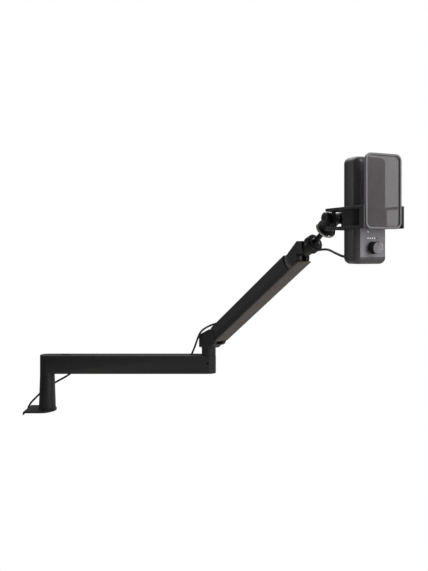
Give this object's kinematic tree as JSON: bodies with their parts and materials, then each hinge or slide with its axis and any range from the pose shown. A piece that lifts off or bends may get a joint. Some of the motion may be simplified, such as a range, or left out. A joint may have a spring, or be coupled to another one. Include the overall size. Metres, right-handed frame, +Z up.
{
  "type": "microphone boom arm",
  "caption": "Low-profile desk microphone arm: clamp, swivelling box beam, lifting upper arm on a parallel link, and a tilting shock mount with microphone and pop screen.",
  "frame": {"origin": "on the swivel axis of the riser, at the underside of the clamp's desk pad", "axes": "+X along the lower arm from the riser to the elbow, +Z up, -Y towards the viewer"},
  "size_m": [0.687, 0.4849, 0.6067],
  "materials": {
    "black_metal": "fine matt black powder coat",
    "cover_grey": "matt warm grey moulding",
    "black_plastic": "matt black moulding",
    "gloss_black": "polished black",
    "steel": "plain steel",
    "black_steel": "oil-blackened steel",
    "bright_metal": "bright turned metal",
    "rubber": "matt black rubber",
    "lead_black": "black cable jacket",
    "mic_charcoal": "satin charcoal coat",
    "mic_grey": "satin mid grey coat",
    "net_grey": "dark grey woven wire",
    "light_white": "clear white light guide",
    "board_green": "circuit board",
    "capsule_brass": "plain brass"
  },
  "bodies": {
    "base": {"clamp_frame": "black_metal", "desk_pad": "rubber", "riser_screws": "steel", "riser": "black_metal", "riser_bush": "black_plastic", "clamp_nut": "steel", "lead_base": "lead_black", "desk_plug": "black_plastic"},
    "pressure_foot": {"pressure_plate": "steel", "pressure_pad": "rubber"},
    "clamp_handle": {"clamp_screw": "steel", "clamp_knob": "black_plastic"},
    "lower_arm": {"lower_arm": "black_metal", "cable_grommets": "black_plastic", "swivel_pin": "steel", "elbow_bush": "black_plastic", "tension_screw": "black_steel", "lead_lower_arm": "lead_black", "lead_elbow_low": "lead_black"},
    "elbow": {"elbow_knuckle": "black_metal", "elbow_spindle": "steel", "spindle_screw": "black_steel", "elbow_pins": "steel", "lead_elbow_high": "lead_black"},
    "upper_arm": {"upper_arm": "black_metal", "arm_screws": "black_steel", "cable_cover": "cover_grey", "lower_end_block": "black_metal", "upper_end_block": "black_metal", "balance_spring": "steel", "spring_anchor": "steel", "lead_upper_arm": "lead_black"},
    "level_link": {"level_link": "steel"},
    "head": {"head_knuckle": "black_metal", "head_pins": "steel", "lead_gland": "black_plastic", "lead_head": "lead_black"},
    "collar": {"lock_collar": "gloss_black"},
    "ball": {"ball_stud": "black_steel", "lead_middle": "lead_black"},
    "mount": {"flange_nut": "bright_metal", "mount_boss": "black_metal"},
    "cradle": {"shock_frame": "black_metal", "tilt_bolt": "black_steel", "mic_rear_shell": "black_plastic", "mic_front_shell": "mic_charcoal", "mic_grille": "mic_grey", "mic_panel": "mic_grey", "light_guides": "light_white", "mic_board": "board_green", "mic_capsule": "capsule_brass", "mic_band": "black_plastic", "elastic_cords": "rubber", "pop_frame": "mic_grey", "pop_net": "net_grey", "mic_plug": "black_plastic", "lead_mic": "lead_black"},
    "tilt_knob": {"tilt_knob": "black_plastic"},
    "dial_stem": {"dial_shaft": "steel"},
    "dial": {"dial": "gloss_black"}
  },
  "joints": [
    {"name": "pressure_lift", "type": "slide", "parent": "base", "child": "pressure_foot", "axis": [0, 0, 1], "range_m": [-0.026, 0.022]},
    {"name": "clamp_turn", "type": "hinge", "parent": "pressure_foot", "child": "clamp_handle", "pos_m": [-0.004, 0, -0.1], "axis": [0, 0, 1], "range_deg": [-2341, 1981]},
    {"name": "base_swivel", "type": "hinge", "parent": "base", "child": "lower_arm", "pos_m": [0, 0, 0.09], "axis": [0, 0, 1], "range_deg": [-160, 160], "deforming": ["lead_base"]},
    {"name": "elbow_swivel", "type": "hinge", "parent": "lower_arm", "child": "elbow", "pos_m": [0.34, 0, 0.1187], "axis": [0, 0, 1], "range_deg": [-84, 195], "deforming": ["lead_elbow_low"]},
    {"name": "arm_tilt", "type": "hinge", "parent": "elbow", "child": "upper_arm", "pos_m": [0.35518, -0.02233, 0.158], "axis": [-0.8271, -0.5621, 0], "range_deg": [-33, 36], "deforming": ["balance_spring", "lead_elbow_high"]},
    {"name": "link_swing", "type": "hinge", "parent": "elbow", "child": "level_link", "pos_m": [0.35782, -0.02622, 0.15128], "axis": [-0.8271, -0.5621, 0], "range_deg": [-33, 36]},
    {"name": "head_level", "type": "hinge", "parent": "upper_arm", "child": "head", "pos_m": [0.49736, -0.23155, 0.3248], "axis": [-0.8271, -0.5621, 0], "range_deg": [-36, 33]},
    {"name": "collar_turn", "type": "hinge", "parent": "head", "child": "collar", "pos_m": [0.51984, -0.26463, 0.35], "axis": [0.5026, -0.7395, 0.4478], "range_deg": [0, 120]},
    {"name": "ball_tilt", "type": "hinge", "parent": "head", "child": "ball", "pos_m": [0.51984, -0.26463, 0.35], "axis": [-0.9135, -0.4067, 0], "range_deg": [-20, 20], "deforming": ["lead_head"]},
    {"name": "mount_turn", "type": "hinge", "parent": "ball", "child": "mount", "pos_m": [0.51984, -0.26463, 0.35], "axis": [0.3396, -0.7627, 0.5505], "range_deg": [-45, 45], "deforming": ["lead_middle"]},
    {"name": "mic_tilt", "type": "hinge", "parent": "mount", "child": "cradle", "pos_m": [0.54395, -0.31878, 0.38908], "axis": [-0.9135, -0.4067, 0], "range_deg": [-15, 15], "deforming": ["lead_mic"]},
    {"name": "knob_turn", "type": "hinge", "parent": "cradle", "child": "tilt_knob", "pos_m": [0.54395, -0.31878, 0.38908], "axis": [-0.9135, -0.4067, 0], "range_deg": [0, 360]},
    {"name": "dial_press", "type": "slide", "parent": "cradle", "child": "dial_stem", "axis": [-0.4067, 0.9135, 0], "range_m": [0, 0.0006], "stiffness_N_per_m": 2500, "springref_m": -0.0004},
    {"name": "dial_turn", "type": "hinge", "parent": "dial_stem", "child": "dial", "pos_m": [0.58292, -0.4063, 0.34178], "axis": [0.4067, -0.9135, 0], "continuous": true}
  ],
  "couplings": [
    {"joint": "clamp_turn", "follows": "pressure_lift", "rad_per_m": 1570.8},
    {"joint": "link_swing", "follows": "arm_tilt", "ratio": 1},
    {"joint": "head_level", "follows": "arm_tilt", "ratio": -1}
  ]
}
